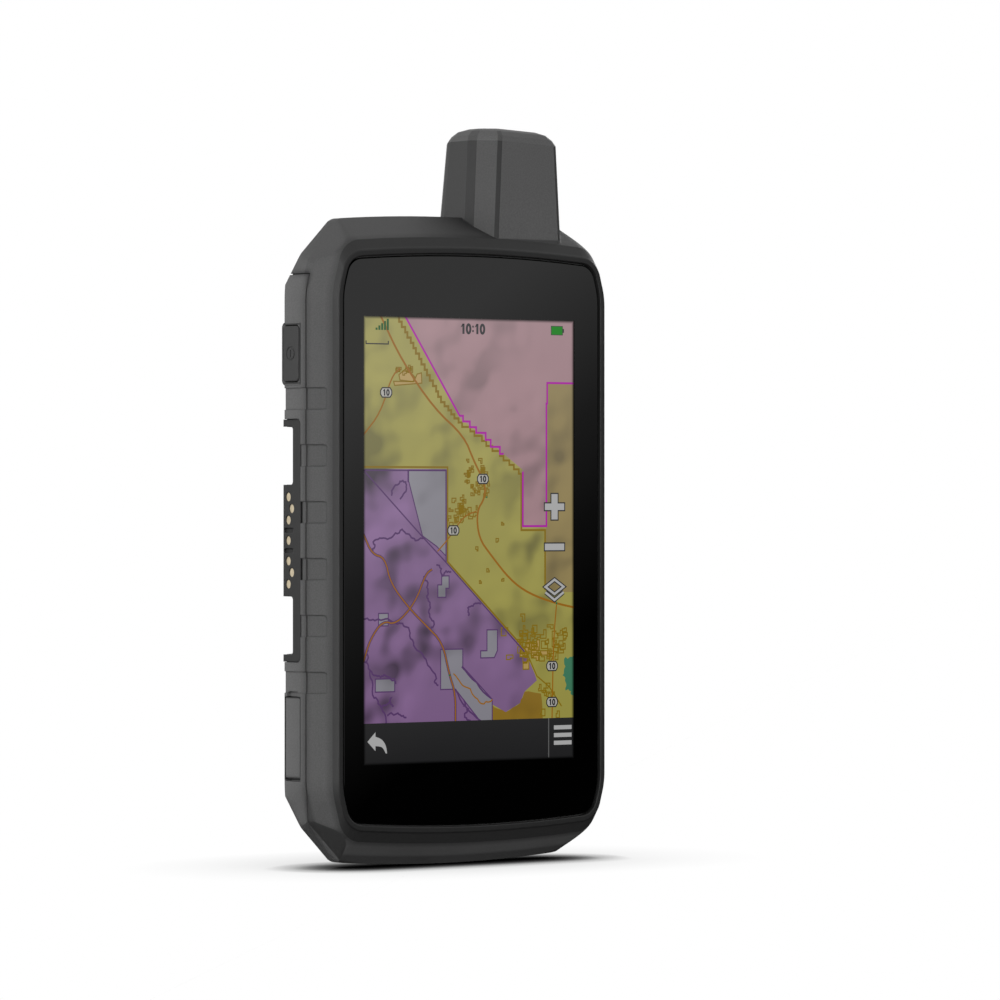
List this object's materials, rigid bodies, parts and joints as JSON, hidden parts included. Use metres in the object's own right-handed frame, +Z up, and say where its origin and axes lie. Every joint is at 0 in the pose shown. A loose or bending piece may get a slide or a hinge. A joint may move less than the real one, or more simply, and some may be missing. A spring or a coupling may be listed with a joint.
{
  "type": "handheld gps unit",
  "caption": "Handheld satellite navigation unit: touch screen in a chamfered case with a stub antenna, power key, port flap and latched battery door.",
  "frame": {"origin": "under the middle of the case at the level of its lowest point, half way between the rim round the glass and the battery door's outer face", "axes": "+X to the right of a person facing the screen, +Y from the screen to the back, +Z up towards the antenna"},
  "size_m": [0.0927, 0.033, 0.183],
  "materials": {
    "case_front": "fine textured charcoal moulding",
    "case_rear": "fine textured grey moulding",
    "seal_rubber": "soft black silicone",
    "cover_glass": "polished glass with a printed black border",
    "black_tape": "black adhesive film",
    "clear_film": "clear film",
    "display": "lit map picture",
    "backlight": "white light guide",
    "flex_film": "amber polyimide",
    "magnesium": "die-cast",
    "circuit_board": "green solder mask",
    "steel": "satin",
    "black_steel": "black oxide",
    "tinned_steel": "tin plate",
    "black_plastic": "moulded",
    "gold": "gold plate",
    "ceramic": "moulded former",
    "copper": "bare copper",
    "cable_jacket": "thin jacket",
    "key_rubber": "soft matt elastomer",
    "panel_plastic": "fine textured dark moulding",
    "battery_shell": "smooth moulding"
  },
  "bodies": {
    "root": {"front_housing": "case_front", "rear_case": "case_rear", "case_seal": "seal_rubber", "cover_glass": "cover_glass", "glass_bond_tape": "black_tape", "touch_sensor": "clear_film", "display_panel": "display", "backlight_unit": "backlight", "display_flex": "flex_film", "chassis_plate": "magnesium", "main_board": "circuit_board", "board_screws": "steel", "case_screws": "black_steel", "processor_shield": "tinned_steel", "radio_shield": "tinned_steel", "power_shield": "tinned_steel", "beeper": "black_plastic", "backup_cell": "steel", "card_socket": "tinned_steel", "memory_card": "black_plastic", "battery_contact_block": "black_plastic", "battery_springs": "gold", "helix_board": "circuit_board", "helix_core": "ceramic", "helix_strips": "copper", "antenna_coax": "cable_jacket", "coax_plug": "gold", "key_seal": "seal_rubber", "key_switch": "black_plastic", "key_board": "circuit_board", "contact_panel": "panel_plastic", "contact_pins": "gold", "contact_board": "circuit_board", "dock_panel_right": "panel_plastic", "port_cover_pin": "steel", "port_board": "circuit_board", "usb_socket": "tinned_steel", "usb_tongue": "black_plastic", "antenna_jack": "gold", "door_seal": "seal_rubber"},
    "power_key": {"power_key": "key_rubber"},
    "port_cover": {"port_cover": "key_rubber"},
    "battery": {"battery_pack": "battery_shell", "battery_terminals": "gold"},
    "battery_door": {"battery_door": "case_rear"},
    "latch": {"latch_knob": "steel", "latch_cam": "steel"},
    "lift_ring": {"lift_ring": "steel"}
  },
  "joints": [
    {"name": "power_key_press", "type": "slide", "parent": "root", "child": "power_key", "axis": [1, 0, 0], "range_m": [0, 0.0005], "stiffness_N_per_m": 4000, "springref_m": -0.0002},
    {"name": "port_cover_hinge", "type": "hinge", "parent": "root", "child": "port_cover", "pos_m": [-0.0453, -0.0038, 0.0229], "axis": [0, -1, 0], "range_deg": [0, 95]},
    {"name": "battery_lift", "type": "slide", "parent": "root", "child": "battery", "axis": [0, 1, 0], "range_m": [0, 0.03]},
    {"name": "battery_door_lift", "type": "slide", "parent": "battery", "child": "battery_door", "axis": [0, 1, 0], "range_m": [0, 0.03]},
    {"name": "latch_turn", "type": "hinge", "parent": "battery_door", "child": "latch", "pos_m": [0, 0.0135, 0.1107], "axis": [0, 1, 0], "range_deg": [0, 90]},
    {"name": "lift_ring_fold", "type": "hinge", "parent": "latch", "child": "lift_ring", "pos_m": [0, 0.0152, 0.1107], "axis": [1, 0, 0], "range_deg": [0, 180]}
  ]
}
